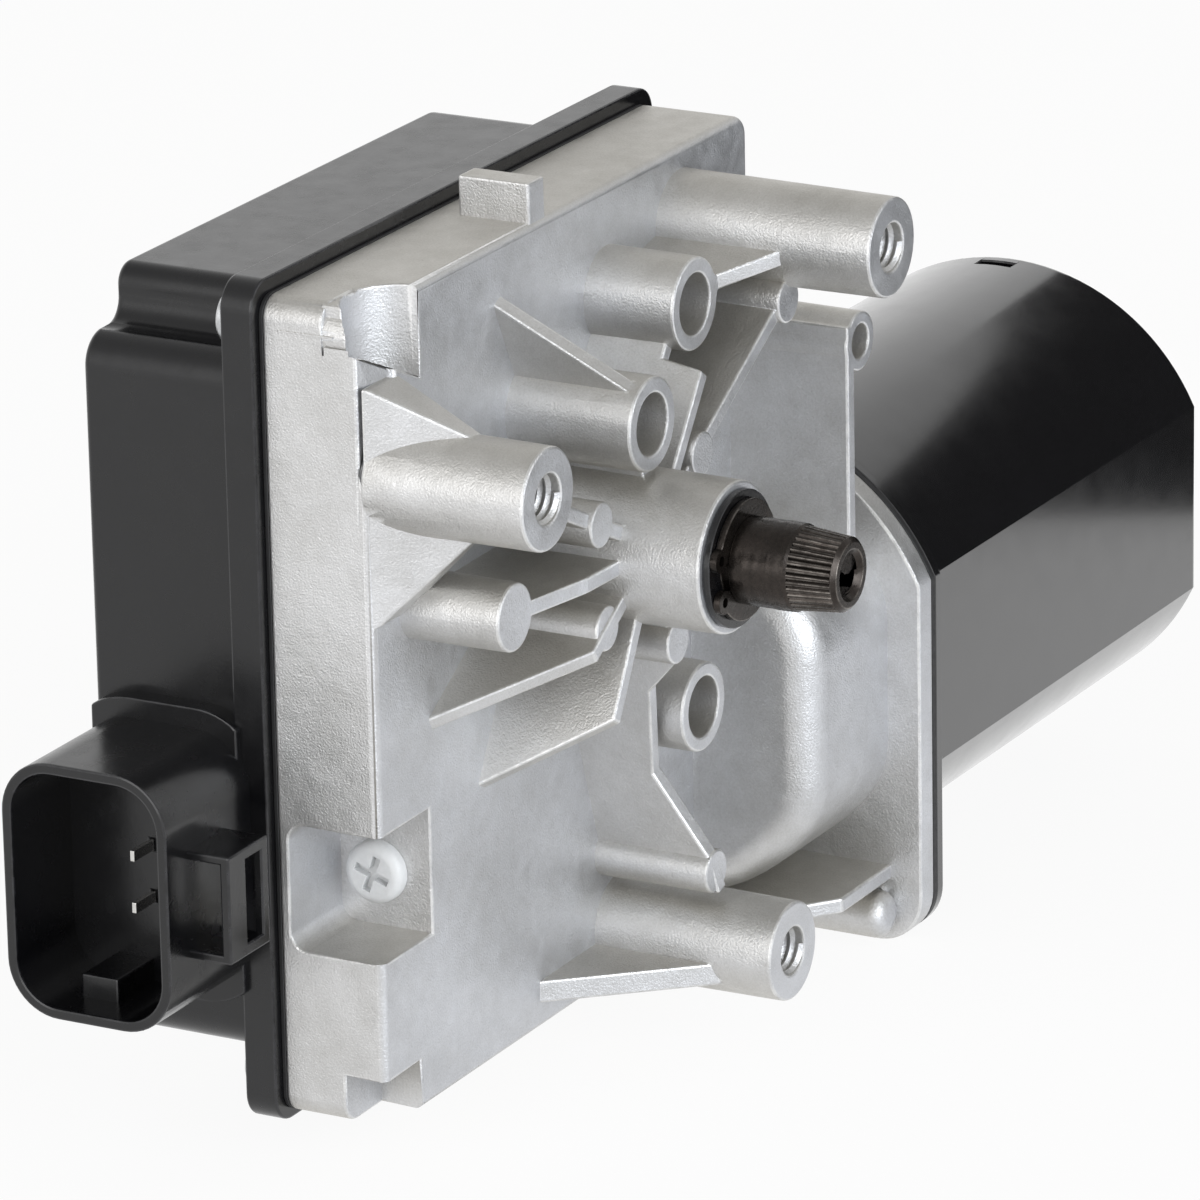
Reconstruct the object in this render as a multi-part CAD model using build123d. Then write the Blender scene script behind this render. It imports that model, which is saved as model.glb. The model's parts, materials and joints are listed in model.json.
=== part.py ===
from build123d import *
from math import atan2, cos, degrees, dist, hypot, pi, radians, sin, tan
import os

# Wiper motor: a die-cast gear case with a worm drive, a two-pole motor in a flattened can, and a plastic
# cover with the connector. The origin is on the output shaft's axis, level with the end of the low mounting
# boss. The shaft points along -Y, the motor runs along +X and +Z is up. All sizes are in millimetres.

# Gear case
frontY = 26.8            # outer skin of the case, on the shaft's side
rimY = 42.0              # open rim that the cover closes
caseLeft = -44.4
caseRight = 61.0
caseTop = 42.0
caseBottom = -70.5
bellShoulderZ = -12.0    # the case is narrower below this height, beside the motor's bell
skin = 2.5               # wall of the front skin
sideWall = 2.6
cornerR = 3.0
edgeR = 1.2
wallX = 54.6             # the plate across the front beside the motor
lugLeft = 0.0            # the block on top of the case
lugWide = 4.4
lugHigh = 5.4
facetTop = 35.4          # the upper left front corner is cut off below this height
facetWide = 7.4
facetDepthY = 32.5
facetReach = 40.0
tunnelHalf = 8.0         # half height of the solid band round the worm
wheelRoom = 1.5
screwBossR = 4.6
screwReach = 8.0         # of the cover's screws into the case
stepDepth = 6.2          # the lower left corner is stepped back under this height
stepTop = -63.5
pocketZ = (-47.0, -29.5)
pocketRim = 1.4

# Output shaft and its hub
shaftR = 6.0
shaftFreeR = 5.9         # in front of the clip, where the crank goes on
shaftTipY = -19.7
splineRootY = -10.2      # where the shaft starts to taper
splineTipR = 5.0
splineCount = 36
splineDepth = 0.58
splineStart = 1.5        # plain taper before the teeth
clipSeat = 1.6           # from the hub's end to the middle of the clip's groove
shaftBoltR = 2.5
shaftBoltDepth = 20.5
hubR = 10.3
hubTipY = -2.5
hubWasherR = 9.3
bushWall = 1.5
bushLength = 10.0
sealDepth = 2.2
sealR = 8.8
runningGap = 0.04        # radial clearance of every running fit
clipT = 1.0
clipR = 8.2
clipEarX = 3.0
clipEarInset = 1.0
clipEarR = 1.6
clipEarHoleR = 0.7
clipDepth = 0.5
clipTurn = 98.0          # where the open side of the clip points, in degrees

# Worm drive
moduleSize = 1.0
wheelTeeth = 70
wormPitchR = 4.3
pressureAngle = 20.0
backlash = 0.3
faceWidth = 9.0
axisY = 34.8             # height of the motor's axis behind the hub end
wormTurns = 7
insertR = 14.0           # steel hub moulded into the wheel
insertT = 6.0
webT = 6.0               # solid disc at the wheel's back
washerT = 0.9
washerR = 12.0
spokes = 6
ringInR = 20.0           # park ring on the wheel's back
ringOutR = 29.0
ringT = 0.5

# Mounting bosses: place of the axis (x, z), end face and root radius
mountTipR = 6.9
mountThreadR = 3.35      # M8 thread, minor radius
mountDepth = 16.0
bossDraft = 0.5
mountA = (-38.0, 18.2)
mountB = (41.0, 31.9)
mountC = (20.0, -62.6)
mountATipY = 4.2
mountBTipY = -5.3
mountCTipY = 0.0

# Plain cored bosses
coredR = 6.4
coredHoleR = 4.2
coredDepth = 11.0
bossD = (19.8, 27.4)
bossDTipY = 13.4
bossE = (-2.1, 17.5)
bossETipY = 8.3
bossG = (17.9, -28.6)
bossGTipY = 12.0
bossF = (58.6, 12.2)
bossFTipY = 8.5
bossFR = 4.2
bossFHoleR = 2.4
bossH = (-33.0, -0.4)
bossHTipY = 12.2
bossHR = 4.6

# Ribs on the front skin
ribT = 2.2
ribY = 9.2               # front edge of the ribs beside the hub
ribRise = 24.0           # distance from the shaft at which the free ribs start to fall away
ribFoot = 35.5           # distance at which they meet the skin
gussetY = 14.9           # front edge of the gussets on the left mounting boss
freeRibAngles = (210.8, 241.0)
freeRibFlats = (20.0, 24.0)
ribCEnd = (19.1, -60.0)
padR = 3.1
ribBPads = ((12.4, 9.2), (37.6, 23.6))
ribCPads = (15.5, 53.9)      # distances from the shaft

# Motor
bellLeft = 43.0
bellCornerR = 5.0
bellBlendR = 14.0        # blends the bell's flats into its round
bearingR = 14.8          # bulge of the case round the motor's front bearing
bearingX = 18.0
flangeX = 66.0
flangeT = 4.0
lugPlace = (63.2, -73.3) # small lug under the flange
lugTipY = 7.0
lugRootY = 20.0
lugR = 3.4
shelfZ = -66.8           # web between the lug, the bell and the flange
bellR = 29.0
bellFlat = 26.3          # distance from the motor's axis to its flat sides
bellWall = 2.8
canR = 33.3
canFlat = 30.2
canWall = 2.4
flangeRim = 1.1          # of the flange, the gasket and the can's rim beyond the can
flangeR = canR + flangeRim
flangeFlat = canFlat + flangeRim
earR = 7.0
earZ = 1.3 - canR        # from the motor's axis down to the ear by the front
canEnd = 161.0
canFloorR = 2.0
canFlangeT = 2.0
gasketT = 1.0
screwR = 2.0
screwHeadR = 4.2
screwHeadT = 3.0
armShaftR = 5.4
endJournalR = 4.0
journalR = 3.0
tunnelR = 6.1
thrustX = -31.0          # floor of the pocket with the thrust screw
thrustWall = 5.0
thrustThreadR = 3.2
thrustHeadR = 4.3
thrustHeadT = 2.2
thrustBallR = 2.0
endBushL = 9.0
mainBushR = 7.0
mainBushL = 9.0
coreLeft = 82.0
coreRight = 132.0
coreSlots = 12
endTurnT = 7.0
slotDepth = 6.5
commR = 10.0
commLeft = 52.0
commRight = 63.0
riserR = 12.2            # ring at the commutator's end that carries the coils' leads
riserT = 1.5
leadR = 0.7
magnetFit = 0.05         # between the can and its magnets
magnetT = 6.55
magnetGap = 0.9
magnetHalfAngle = 56.0
magnetLength = 58.0
coreR = canR - canWall - magnetFit - magnetT - magnetGap
endBearingR = 8.0
endBearingT = 7.0
brushWide = 6.0
brushLong = 8.0
brushHigh = 7.0
brushSeat = 0.15
brushGap = 0.1
holderT = 0.8
holderTop = 25.5
cardT = 2.0
springWireR = 0.35
springR = 2.0
springTurns = 4

# Cover and connector
lipLeft = -46.2
lipRight = 63.0
lipTop = 44.0
lipBottom = -71.8
lipBackY = 47.3
coverBackY = 69.5
coverLeft = -44.4
coverTop = 40.8
coverRight = 50.8
coverBottom = -62.8
coverStepX = -35.6       # upper left of the cover is stepped in beside a screw
coverWall = 2.2
socketX = -67.4
socketCentre = (57.6, -34.8)
socketWide = 24.9
socketHigh = 35.4
socketWall = 1.5
socketCorner = 7.5
socketFloorX = -53.0
collarX = -47.2          # raised foot of the socket on the cover's wall
collarRise = 2.8
keyX = -62.0             # key on the socket's lower wall
keyWide = 5.6
keyHigh = 3.2
keyY = 59.4
pinTipX = -58.0
pinYs = (56.2, 51.0)
pinZs = (-31.9, -39.1)
pinWide = 0.7
pinHigh = 1.5
coverScrews = [(-39.6, 37.4), (56.4, 37.0), (56.0, -3.0), (-38.6, -66.0), (34.0, -66.0)]
coverHeadR = 3.6
coverHeadT = 2.6
coverBackR = 1.0
coverStepR = 4.5
coverStepZ = 33.6
coverTopR = 2.9
coverBellX = 40.0
coverBellZ = -8.0
lipShoulderZ = -11.0     # the lip passes round the motor's bell
lipBellX = 42.4
lipCornerR = 4.0
ledgeT = 2.2
coverGasketT = 0.6
latchX = (-62.4, -52.4)  # loop beside the socket that the plug's latch hooks into
latchY = 38.9
latchZ = (-42.8, -28.0)
latchWall = 1.2
latchPlate = 1.4
latchPost = 4.4          # front post of the loop's plate, before its window
latchEdge = 1.6
boardY = 46.5
boardT = 1.6
boardX = (-41.5, 37.0)
boardZ = (-45.0, 30.0)
boardPostInset = 8.0
boardScrewR = 1.2
legX = -37.0
legPitch = 3.2
contactRadii = (22.0, 24.5, 27.0)
contactWide = 1.6
contactT = 0.5
contactReach = 10.0

wheelR = moduleSize * wheelTeeth / 2
centreZ = -(wheelR + wormPitchR)          # height of the motor's axis below the shaft
wormLead = pi * moduleSize
grooveY = hubTipY - clipSeat
earY = earR - flangeFlat                  # the ears' outer sides run on from the flange's flats
floorY = frontY + skin
wheelFrontY = axisY - faceWidth / 2
wheelBackY = axisY + faceWidth / 2


def face(points):
    return make_face(Polyline(*points, close=True))


def slab(sketch, front, back):
    # a sketch drawn in X and Z, from y = front to y = back
    return extrude(Plane.XZ.offset(-back) * sketch, back - front)


def bar(sketch, left, right):
    # a sketch drawn in Y and Z, from x = left to x = right
    return extrude(Plane.YZ.offset(left) * sketch, right - left)


def rodY(place, radius, front, back):
    return slab(Pos(*place) * Circle(radius), front, back)


def rodX(radius, left, right, y=axisY, z=centreZ):
    return bar(Pos(y, z) * Circle(radius), left, right)


def ringY(outer, inner, front, back):
    return slab(Circle(outer) - Circle(inner), front, back)


def ringX(outer, inner, left, right):
    return bar(Pos(axisY, centreZ) * (Circle(outer) - Circle(inner)), left, right)


def box(xs, ys, zs):
    (x0, x1), (y0, y1), (z0, z1) = xs, ys, zs
    return Pos((x0 + x1) / 2, (y0 + y1) / 2, (z0 + z1) / 2) * Box(x1 - x0, y1 - y0, z1 - z0)


def taperedBoss(place, tipR, tipY, rootY=frontY + 1):
    length = rootY - tipY
    cone = Cone(tipR + length * tan(radians(bossDraft)), tipR, length)
    return Pos(place[0], (tipY + rootY) / 2, place[1]) * Rot(X=90) * cone


def doubleD(radius, flat):
    # a circle with two flats that face along Y
    return Pos(axisY, centreZ) * (Circle(radius) & Rectangle(2 * flat, 2 * radius))


def steppedOutline(left, right, top, bottom, shoulder, bell, radius):
    # a rectangle with its lower right corner left out for the motor's bell
    points = [(left, top), (right, top), (right, shoulder), (bell, shoulder), (bell, bottom), (left, bottom)]
    sketch = face(points)
    return fillet(sketch.vertices(), radius)


def caseOutline(inset=0.0):
    return steppedOutline(caseLeft + inset, caseRight - inset, caseTop - inset, caseBottom + inset,
                          bellShoulderZ + inset, bellLeft - inset, max(cornerR - inset, 0.6))


def circlesAt(places, radius):
    circles = Pos(*places[0]) * Circle(radius)
    for place in places[1:]:
        circles += Pos(*place) * Circle(radius)
    return circles


def rimSketch():
    # the case's wall at its rim, with the round lands for the cover's screws
    return caseOutline() - caseOutline(sideWall) + (caseOutline() & circlesAt(coverScrews, screwBossR))


def web(start, end, edge, thickness=ribT):
    # a plate that stands on the front skin, from start towards end (x, z);
    # edge lists (distance from start, y of the free edge)
    length = hypot(end[0] - start[0], end[1] - start[1])
    dx, dz = (end[0] - start[0]) / length, (end[1] - start[1]) / length
    plane = Plane(origin=(start[0], 0, start[1]), x_dir=(dx, 0, dz), z_dir=(-dz, 0, dx))
    root = frontY + 1
    points = [(edge[0][0], root)] + edge + [(edge[-1][0], root)]
    return extrude(plane * face(points), thickness / 2, both=True)


def along(target, distance):
    length = hypot(*target)
    return target[0] / length * distance, target[1] / length * distance


def rib(target, edge):
    # a rib that starts inside the hub and points away from the shaft
    return web((0, 0), target, [(hubR - 2, edge[0][1])] + edge)


def ribPad(target, distance, y=ribY - 0.6):
    # the round mark of an ejector pin on a rib
    return rodY(along(target, distance), padR, y, frontY + 1)


def caseBlock():
    block = slab(caseOutline(), frontY, rimY)
    front = block.faces().sort_by(Axis.Y)[0]
    return fillet(front.edges(), edgeR) - upperFacet()


def upperFacet():
    # takes the slanting corner off the case beside the left mounting boss
    low = mountA[1] + 0.4
    start, top, foot = ((caseLeft, facetDepthY, facetTop), (caseLeft + facetWide, frontY, facetTop - 4),
                        (caseLeft, frontY + edgeR, low))
    along = Vector(*top) - Vector(*start)
    plane = Plane(origin=start, x_dir=along, z_dir=along.cross(Vector(*foot) - Vector(*start)))
    halfSpace = plane * Pos(0, 0, -facetReach) * Box(4 * facetReach, 4 * facetReach, 2 * facetReach)
    return halfSpace & box((caseLeft - 1, caseLeft + 2 * facetWide), (frontY - 1, rimY), (low - 4, facetTop))


def earOutline():
    # the two ears for the can's screws, opposite each other across the motor's axis;
    # each runs straight on from one of the flange's flats
    length = hypot(earY, earZ)
    uy, uz = earY / length, earZ / length
    outline = None
    for side in (1, -1):
        tip = (axisY + side * earY, centreZ + side * earZ)
        root = (axisY, centreZ)
        corners = [(p[0] + s * earR * uz, p[1] - s * earR * uy) for p, s in
                   ((root, 1), (tip, 1), (tip, -1), (root, -1))]
        flat = axisY - side * flangeFlat
        side = face([root, (flat, centreZ), (flat, tip[1]), tip])
        ear = face(corners) + side + Pos(*tip) * Circle(earR)
        outline = ear if outline is None else outline + ear
    return outline


def bell():
    outline = doubleD(bellR, bellFlat)
    cup = bar(fillet(outline.vertices(), bellBlendR), bellLeft - 0.5, flangeX + 0.5)
    cup = fillet(cup.faces().sort_by(Axis.X)[0].edges(), bellCornerR)
    flange = bar(doubleD(flangeR, flangeFlat) + earOutline(), flangeX, flangeX + flangeT)
    lug = rodY(lugPlace, lugR, lugTipY, lugRootY)
    lug = fillet(lug.faces().sort_by(Axis.Y)[0].edges(), lugR * 0.6)
    lugX, lugZ = lugPlace
    lug += box((lugX - ribT / 2, lugX + ribT / 2), (lugTipY + lugR, lugRootY), (lugZ, shelfZ))
    shelf = Plane.XY.offset(shelfZ - ribT) * face([
        (flangeX + 1, frontY), (bellLeft, frontY), (bellLeft, axisY - bellFlat + 6),
        (bellLeft + 8, lugTipY + 1.3), (flangeX + 1, lugTipY + 1.3)])
    return cup + flange + lug + extrude(shelf, ribT)


def bearingBulge():
    # round the motor's front bearing, with a domed end
    dome = bearingX + bearingR
    bulge = rodX(bearingR, dome, bellLeft + 1) + Pos(dome, axisY, centreZ) * Sphere(bearingR)
    return bulge & box((bearingX, bellLeft + 1), (frontY - bearingR, frontY + 2),
                       (centreZ - bearingR, centreZ + bearingR))


def frontRibs():
    near, far = ribBPads
    ribs = rib(near, [(hubR - 1, ribY), (hypot(*near), ribY)]) + rodY(near, padR, ribY - 0.6, frontY + 1)
    ribs += web(near, far, [(0, ribY), (dist(near, far), ribY)]) + rodY(far, padR, ribY - 0.6, frontY + 1)
    ribs += web(far, mountB, [(0, ribY), (dist(far, mountB) - 2, ribY)])
    ribs += rib(ribCEnd, [(hubR, ribY), (18.5, ribY), (24, 14), (38, 16), (51, ribY + 0.6), (57, ribY)])
    ribs += ribPad(ribCEnd, ribCPads[0]) + ribPad(ribCEnd, ribCPads[1], ribY + 0.4)
    ribs += rib(mountA, [(hubR, ribY), (hypot(*mountA) - 4, ribY)]) + ribPad(mountA, 17.5)
    ribs += rib(bossH, [(hubR, ribY), (18, ribY + 0.5), (29, bossHTipY), (33, bossHTipY)])
    for angle, flat in zip(freeRibAngles, freeRibFlats):
        target = (cos(radians(angle)), sin(radians(angle)))
        ribs += rib(target, [(hubR, ribY), (flat, ribY), (ribFoot, frontY + 0.2)])
    first = (cos(radians(freeRibAngles[0])), sin(radians(freeRibAngles[0])))
    ribs += ribPad(first, 15.0, ribY + 0.4)
    ribs += rib(bossD, [(hubR, ribY), (24.5, ribY), (25.5, bossDTipY + 2), (32, bossDTipY + 2)])
    ribs += rib(bossE, [(hubR, bossETipY + 1.5), (16, bossETipY + 1.5)])
    return ribs


def leftGussets():
    # above and below the left mounting boss, slanting back to the case's left side
    x0, x1 = mountA[0] - 0.4, mountA[0] + 2.0
    top, low = mountA[1] + mountTipR, mountA[1] - mountTipR
    side = face([(frontY + 1, bossH[1] - 1), (frontY - 0.6, bossH[1]), (gussetY, low), (gussetY, top),
                 (frontY, top + 6.2), (frontY + 1, top + 6.5)])
    outside = face([(caseLeft - 1, frontY + edgeR), (caseLeft, frontY + edgeR), (x0, gussetY),
                    (x0, gussetY - 5), (caseLeft - 1, gussetY - 5)])
    return bar(side, caseLeft, x1) - extrude(Plane.XY.offset(bossH[1] - 5) * outside, top - bossH[1] + 20)


def gussets():
    plates = web(bossE, (-10.1, 34.4), [(2, bossETipY + 1.3), (6, bossETipY + 1.3), (18.7, frontY + 0.2)])
    plates += web(bossD, mountB, [(4, bossDTipY), (6.6, bossDTipY), (19, 5.2), (20, 5.2)])
    shelf = Plane.XY.offset(mountC[1] - 4.2) * face([
        (-2.7, frontY + 1), (-2.7, frontY), (mountC[0] - 6, 8.0), (mountC[0], 8.0), (mountC[0], frontY + 1)])
    plates += extrude(shelf, 3.2)
    return plates


def endWall():
    # the plate across the case beside the motor, with a small cored boss on its edge
    top = bossF[1] + 3
    edge = axisY - bellFlat
    plate = box((wallX, wallX + ribT), (edge, frontY + 1), (centreZ + 18, top))
    return plate + taperedBoss(bossF, bossFR, bossFTipY)


def coredBosses():
    solids = taperedBoss(bossD, coredR, bossDTipY) + taperedBoss(bossE, coredR, bossETipY)
    solids += taperedBoss(bossG, coredR - 0.2, bossGTipY) + taperedBoss(bossH, bossHR, bossHTipY)
    return solids


def blindHoles():
    cuts = None
    for place, tip in ((mountA, mountATipY), (mountB, mountBTipY), (mountC, mountCTipY)):
        hole = rodY(place, mountThreadR, tip - 1, tip + mountDepth)
        cuts = hole if cuts is None else cuts + hole
    for place, tip in ((bossD, bossDTipY), (bossE, bossETipY), (bossG, bossGTipY)):
        cuts += rodY(place, coredHoleR, tip - 1, tip + coredDepth)
    return cuts + rodY(bossF, bossFHoleR, bossFTipY - 1, bossFTipY + coredDepth)


def caseCavities():
    band = Pos(0, centreZ) * Rectangle(400, 2 * tunnelHalf)
    low, high = pocketZ[0] - sideWall, pocketZ[1] + sideWall
    right = thrustX + thrustWall
    pocketWalls = Pos((caseLeft + right) / 2, (low + high) / 2) * Rectangle(right - caseLeft, high - low)
    facetWidth, facetHeight = facetWide + 0.6, caseTop - mountA[1] + 4
    facetBack = Pos(caseLeft + facetWidth / 2, caseTop - facetHeight / 2) * Rectangle(facetWidth, facetHeight)
    solid = band + pocketWalls + facetBack + circlesAt(coverScrews, screwBossR)
    wells = slab(caseOutline(sideWall) - solid, floorY, rimY + 1)
    cuts = wells + rodY((0, 0), wheelR + moduleSize + wheelRoom, floorY, rimY + 1)
    cuts += rodX(tunnelR, thrustX + thrustWall, bellLeft + 1)
    cuts += rodX(thrustThreadR, thrustX - 1, thrustX + thrustWall + 1)
    cuts += rodX(mainBushR, bellLeft + bellWall - mainBushL, bellLeft + bellWall + 1)
    cuts += bar(doubleD(bellR - bellWall, bellFlat - bellWall), bellLeft + bellWall, flangeX + flangeT + 1)
    cuts += rodY((0, 0), shaftR + bushWall, hubTipY - 1, floorY + 1)
    cuts += rodY((0, 0), sealR, hubTipY - 1, hubTipY + sealDepth)
    return cuts


def pocketCuts():
    cuts = box((caseLeft - 2, thrustX), (frontY - 3, rimY - pocketRim), pocketZ)
    cuts = fillet(cuts.edges().filter_by(Axis.X), 2.5)
    # the lower left corner is stepped back, and the upper left one is cut away round the cover's screw
    cuts += box((caseLeft - 1, caseLeft + 9.4), (frontY - 1, frontY + stepDepth),
                (caseBottom - 1, stepTop))
    corner = box((caseLeft - 1, caseLeft + 8.4), (frontY - 1, frontY + 6.5), (caseTop - 6.6, caseTop + 1))
    return cuts + (corner - rodY(coverScrews[0], screwBossR, frontY + 0.8, rimY))


def gearHousing():
    solid = caseBlock() + bell() + endWall()
    solid += box((lugLeft, lugLeft + lugWide), (frontY + 0.6, rimY - 4), (caseTop - 1, caseTop + lugHigh))
    solid += taperedBoss(mountA, mountTipR, mountATipY) + taperedBoss(mountB, mountTipR, mountBTipY)
    solid += taperedBoss(mountC, mountTipR, mountCTipY) + coredBosses() + taperedBoss((0, 0), hubR, hubTipY)
    solid += frontRibs() + gussets() + leftGussets() + bearingBulge()
    solid -= caseCavities() + pocketCuts() + blindHoles()
    solid -= slab(circlesAt(coverScrews, screwR - 0.3), rimY - screwReach - 0.4, rimY + 1)
    for y, z in earPlaces():
        solid -= rodX(screwR - 0.3, flangeX - 1, flangeX + flangeT + 1, y, z)
    return solid


def wheelTeethOutline(turn):
    # the wheel's outline with a tooth space straight below the axis, turned by an angle in degrees
    tanA = tan(radians(pressureAngle))
    pitch = pi * moduleSize
    half = pitch / 4 - backlash / 4
    addendum, dedendum = moduleSize, 1.25 * moduleSize
    tipHalf = (half - addendum * tanA) / (wheelR + addendum)
    rootHalf = (half + dedendum * tanA) / (wheelR - dedendum)
    points = []
    for tooth in range(wheelTeeth):
        middle = -pi / 2 + (tooth + 0.5) * 2 * pi / wheelTeeth + radians(turn)
        for radius, offset in ((wheelR - dedendum, -rootHalf), (wheelR + addendum, -tipHalf),
                               (wheelR + addendum, tipHalf), (wheelR - dedendum, rootHalf)):
            points.append((radius * cos(middle + offset), radius * sin(middle + offset)))
    return face(points)


def driveGear():
    # teeth follow the worm's lead angle across the face width
    lean = degrees(faceWidth / 2 * (wormLead / (2 * pi)) / wormPitchR / wheelR)
    front = Plane.XZ.offset(-wheelFrontY) * wheelTeethOutline(lean)
    back = Plane.XZ.offset(-wheelBackY) * wheelTeethOutline(-lean)
    wheel = loft([front.face(), back.face()], ruled=True)
    rim, hub = wheelR - 3.5 * moduleSize, insertR + 3
    wheel -= slab(Circle(rim) - Circle(hub), wheelFrontY - 1, wheelBackY - webT)
    wheel -= slab(Circle(insertR), wheelFrontY - 1, wheelFrontY + insertT)
    wheel -= rodY((0, 0), shaftR + 2, wheelFrontY - 1, wheelBackY + 1)
    for spoke in range(spokes):
        arm = Rot(Z=360 / spokes * spoke) * Pos((rim + hub) / 2, 0) * Rectangle(rim - hub + 1, ribT)
        wheel += slab(arm, wheelFrontY + 0.8, wheelBackY - webT + 1)
    return wheel


def gearInsert():
    return ringY(insertR, shaftR, wheelFrontY, wheelFrontY + insertT)


def parkRing():
    ring = Circle(ringOutR) - Circle(ringInR)
    gap = Pos(0, -(ringInR + ringOutR) / 2) * Rectangle(7, ringOutR - ringInR - 5)
    return slab(ring - gap, wheelBackY, wheelBackY + ringT)


def outputShaft():
    wide = shaftFreeR
    length = splineRootY - shaftTipY
    shaft = rodY((0, 0), shaftR, grooveY, wheelFrontY + insertT) + rodY((0, 0), wide, splineRootY, grooveY)
    shaft += Pos(0, (shaftTipY + splineRootY) / 2, 0) * Rot(X=90) * Cone(wide, splineTipR, length)
    slant = degrees(atan2(wide - splineTipR, length))
    notch = Rot(X=90) * Rot(Z=45) * Box(splineDepth, splineDepth, length)
    place = Pos((wide + splineTipR) / 2, shaftTipY + length / 2 - splineStart, 0)
    for tooth in range(splineCount):
        shaft -= Rot(Y=360 / splineCount * tooth) * place * Rot(Z=-slant) * notch
    lead = Cone(splineTipR + 0.1, splineTipR - 0.6, 0.7)
    shaft -= ringY(shaftR + 1, 0.1, shaftTipY - 1, shaftTipY + 0.7)
    shaft += Pos(0, shaftTipY + 0.35, 0) * Rot(X=90) * lead
    shaft -= rodY((0, 0), shaftBoltR, shaftTipY - 1, shaftTipY + shaftBoltDepth)
    shaft -= Pos(0, shaftTipY + 0.5, 0) * Rot(X=90) * Cone(shaftBoltR - 0.1, shaftBoltR + 1.1, 1.2)
    return shaft - ringY(shaftR + 1, shaftR - clipDepth, grooveY - clipT / 2, grooveY + clipT / 2)


def retainingClip():
    mouth = Pos(0, clipR) * Rectangle(2 * clipEarX - 2, 2 * (clipR - shaftR) + 3)
    clip = Circle(clipR) - Circle(shaftR - clipDepth) - mouth
    for side in (1, -1):
        ear = Pos(side * clipEarX, clipR - clipEarInset)
        clip = clip + ear * Circle(clipEarR) - ear * Circle(clipEarHoleR)
    return slab(Rot(Z=clipTurn) * clip, grooveY - clipT / 2 + runningGap, grooveY + clipT / 2 - runningGap)


def hubPieces():
    bore, bush = shaftR + runningGap, shaftR + bushWall
    washerBack = floorY + washerT + (wheelFrontY - floorY - washerT) / 2
    return {
        "front_bush": ringY(bush, bore, hubTipY + sealDepth, hubTipY + sealDepth + bushLength),
        "rear_bush": ringY(bush, bore, floorY - bushLength, floorY),
        "shaft_seal": ringY(sealR, bore, hubTipY, hubTipY + sealDepth),
        "shaft_washer": ringY(hubWasherR, bore, grooveY + clipT / 2 + runningGap, hubTipY - runningGap),
        "wheel_washer": ringY(washerR, bore, washerBack - washerT, washerBack),
    }


def wormThread(half):
    tanA = tan(radians(pressureAngle))
    halfWide = pi * moduleSize / 4 - backlash / 4
    low, high = -1.4 * moduleSize, moduleSize
    path = Helix(pitch=wormLead, height=wormTurns * wormLead, radius=wormPitchR, center=(0, 0, -half))
    section = face([(low, low * tanA - halfWide), (high, high * tanA - halfWide),
                    (high, halfWide - high * tanA), (low, halfWide - low * tanA)])
    plane = Plane(origin=path @ 0, x_dir=(1, 0, 0), z_dir=path % 0)
    thread = sweep(plane * section, path=path, is_frenet=True)
    return Pos(0, axisY, centreZ) * Rot(Y=90) * thread


def armatureShaft():
    half = wormTurns * wormLead / 2
    left = thrustX + thrustWall - 0.5 + 2 * thrustBallR + runningGap
    right = canEnd + endBearingT - canWall - 1
    shaft = rodX(journalR, left, 0) + rodX(wormPitchR - 1.25 * moduleSize, -half - 2, half + 3)
    shaft += rodX(armShaftR, half + 2, coreRight + endTurnT) + rodX(endJournalR, coreRight, right)
    return shaft + wormThread(half)


def armatureCore():
    core = Circle(coreR) - Circle(armShaftR)
    for slot in range(coreSlots):
        mouth = Pos(coreR - slotDepth / 2 + 1, 0) * Rectangle(slotDepth + 2, 1.6)
        core -= Rot(Z=360 / coreSlots * slot) * (mouth + Pos(coreR - slotDepth, 0) * Circle(slotDepth / 2))
    return bar(Pos(axisY, centreZ) * core, coreLeft, coreRight)


def windings():
    # the coils' end turns at both ends, the bundles in the slots between them and the leads to the commutator
    inner, outer = commR + 1.5, coreR - 2.5
    coils = None
    for left, right, end in ((coreLeft - endTurnT, coreLeft, 0), (coreRight, coreRight + endTurnT, -1)):
        ring = ringX(outer, inner, left, right)
        rim = ring.faces().sort_by(Axis.X)[end].edges().sort_by(SortBy.LENGTH)[-1]
        ring = fillet(rim, endTurnT * 0.45)
        coils = ring if coils is None else coils + ring
    for slot in range(coreSlots):
        angle = radians(360 / coreSlots * slot)
        y = axisY + (coreR - slotDepth) * cos(angle)
        z = centreZ + (coreR - slotDepth) * sin(angle)
        coils += rodX(slotDepth / 2 - 0.3, coreLeft - 1, coreRight + 1, y, z)
        lead = riserR - leadR / 2
        coils += rodX(leadR, commRight + riserT / 2, coreLeft - endTurnT + 1, axisY + lead * cos(angle),
                      centreZ + lead * sin(angle))
    return coils + ringX(riserR, armShaftR, commRight, commRight + riserT)


def commutator():
    body = ringX(commR, armShaftR, commLeft, commRight)
    for slot in range(coreSlots):
        cut = Pos(axisY, centreZ) * Rot(Z=360 / coreSlots * slot) * Pos(commR, 0) * Rectangle(3, 0.6)
        body -= bar(cut, commLeft - 1, commRight + 1)
    return body


def brushMiddle():
    return (commLeft + commRight) / 2


def brush(side):
    high = commR + brushSeat + brushHigh
    low = commR - 1
    block = Pos(brushMiddle(), axisY, centreZ + side * (low + high) / 2) * Box(brushLong, brushWide, high - low)
    return block - rodX(commR + brushSeat, commLeft - 5, commRight + 5)


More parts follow.
